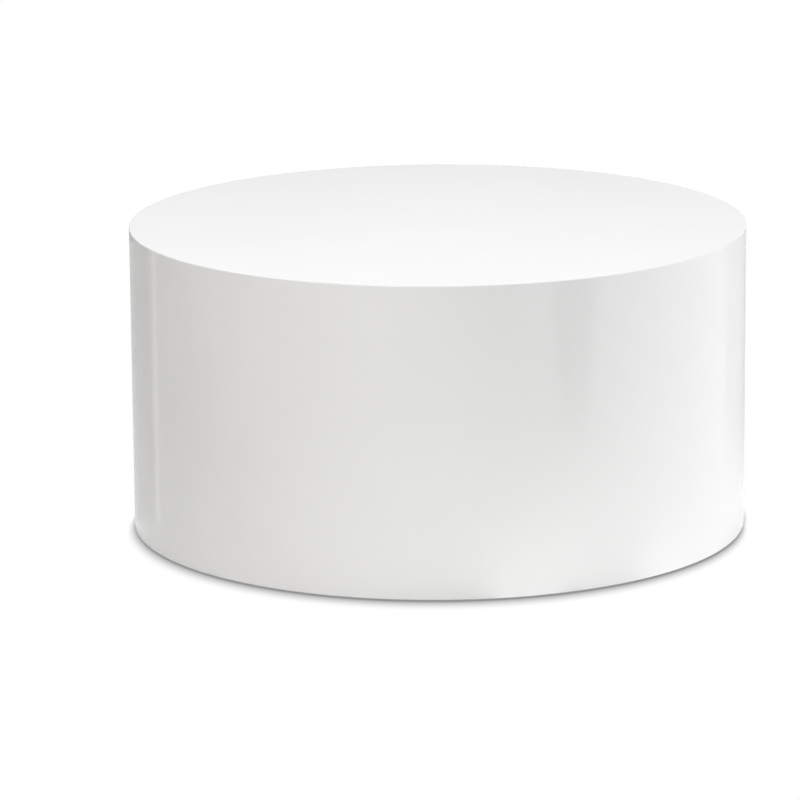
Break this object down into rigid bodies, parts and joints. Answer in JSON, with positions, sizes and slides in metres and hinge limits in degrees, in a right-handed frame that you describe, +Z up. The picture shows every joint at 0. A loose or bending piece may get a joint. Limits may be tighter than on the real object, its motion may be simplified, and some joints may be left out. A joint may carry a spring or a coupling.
{
  "type": "round coffee table",
  "caption": "Low round drum coffee table with a gloss white shell, open underneath, on a board and batten frame with concealed levelling glides.",
  "frame": {"origin": "on the floor under the centre of the drum", "axes": "+Z up through the top panel; -Y towards the viewer of the picture; +X to the viewer's right"},
  "size_m": [0.6, 0.6, 0.3],
  "materials": {
    "lacquered_board": "high-gloss white lacquer on fibreboard",
    "raw_board": "bare fibreboard",
    "softwood": "planed softwood",
    "beech": "fluted beech dowel",
    "zinc_steel": "bright zinc plate",
    "nylon": "moulded nylon"
  },
  "bodies": {
    "drum": {"top_panel": "lacquered_board", "wall_skin": "lacquered_board", "wall_core": "raw_board", "upper_former_1": "raw_board", "upper_former_2": "raw_board", "upper_former_3": "raw_board", "upper_former_4": "raw_board", "lower_former_1": "raw_board", "lower_former_2": "raw_board", "lower_former_3": "raw_board", "lower_former_4": "raw_board", "upright_1": "softwood", "upright_2": "softwood", "upright_3": "softwood", "upright_4": "softwood", "upright_5": "softwood", "upright_6": "softwood", "upright_7": "softwood", "upright_8": "softwood", "upright_upper_screw_1": "zinc_steel", "upright_upper_screw_2": "zinc_steel", "upright_upper_screw_3": "zinc_steel", "upright_upper_screw_4": "zinc_steel", "upright_upper_screw_5": "zinc_steel", "upright_upper_screw_6": "zinc_steel", "upright_upper_screw_7": "zinc_steel", "upright_upper_screw_8": "zinc_steel", "upright_lower_screw_1": "zinc_steel", "upright_lower_screw_2": "zinc_steel", "upright_lower_screw_3": "zinc_steel", "upright_lower_screw_4": "zinc_steel", "upright_lower_screw_5": "zinc_steel", "upright_lower_screw_6": "zinc_steel", "upright_lower_screw_7": "zinc_steel", "upright_lower_screw_8": "zinc_steel", "top_screw_1": "zinc_steel", "top_screw_2": "zinc_steel", "top_screw_3": "zinc_steel", "top_screw_4": "zinc_steel", "top_dowel_1": "beech", "top_dowel_2": "beech", "top_dowel_3": "beech", "top_dowel_4": "beech", "insert_nut_1": "zinc_steel", "insert_nut_2": "zinc_steel", "insert_nut_3": "zinc_steel", "insert_nut_4": "zinc_steel"},
    "pad_1": {"glide_pad_1": "nylon"},
    "pad_2": {"glide_pad_2": "nylon"},
    "pad_3": {"glide_pad_3": "nylon"},
    "pad_4": {"glide_pad_4": "nylon"},
    "stud_1": {"glide_stud_1": "zinc_steel"},
    "stud_2": {"glide_stud_2": "zinc_steel"},
    "stud_3": {"glide_stud_3": "zinc_steel"},
    "stud_4": {"glide_stud_4": "zinc_steel"}
  },
  "joints": [
    {"name": "pad_1_travel", "type": "slide", "parent": "drum", "child": "pad_1", "axis": [0, 0, -1], "range_m": [0, 0.01201]},
    {"name": "pad_2_travel", "type": "slide", "parent": "drum", "child": "pad_2", "axis": [0, 0, -1], "range_m": [0, 0.01201]},
    {"name": "pad_3_travel", "type": "slide", "parent": "drum", "child": "pad_3", "axis": [0, 0, -1], "range_m": [0, 0.01201]},
    {"name": "pad_4_travel", "type": "slide", "parent": "drum", "child": "pad_4", "axis": [0, 0, -1], "range_m": [0, 0.01201]},
    {"name": "stud_1_turn", "type": "hinge", "parent": "pad_1", "child": "stud_1", "pos_m": [0.18272, 0.18272, 0], "axis": [0, 0, -1], "range_deg": [0, 3456]},
    {"name": "stud_2_turn", "type": "hinge", "parent": "pad_2", "child": "stud_2", "pos_m": [-0.18272, 0.18272, 0], "axis": [0, 0, -1], "range_deg": [0, 3456]},
    {"name": "stud_3_turn", "type": "hinge", "parent": "pad_3", "child": "stud_3", "pos_m": [-0.18272, -0.18272, 0], "axis": [0, 0, -1], "range_deg": [0, 3456]},
    {"name": "stud_4_turn", "type": "hinge", "parent": "pad_4", "child": "stud_4", "pos_m": [0.18272, -0.18272, 0], "axis": [0, 0, -1], "range_deg": [0, 3456]}
  ],
  "couplings": [
    {"joint": "pad_1_travel", "follows": "stud_1_turn", "m_per_rad": 0.00019894},
    {"joint": "pad_2_travel", "follows": "stud_2_turn", "m_per_rad": 0.00019894},
    {"joint": "pad_3_travel", "follows": "stud_3_turn", "m_per_rad": 0.00019894},
    {"joint": "pad_4_travel", "follows": "stud_4_turn", "m_per_rad": 0.00019894}
  ]
}
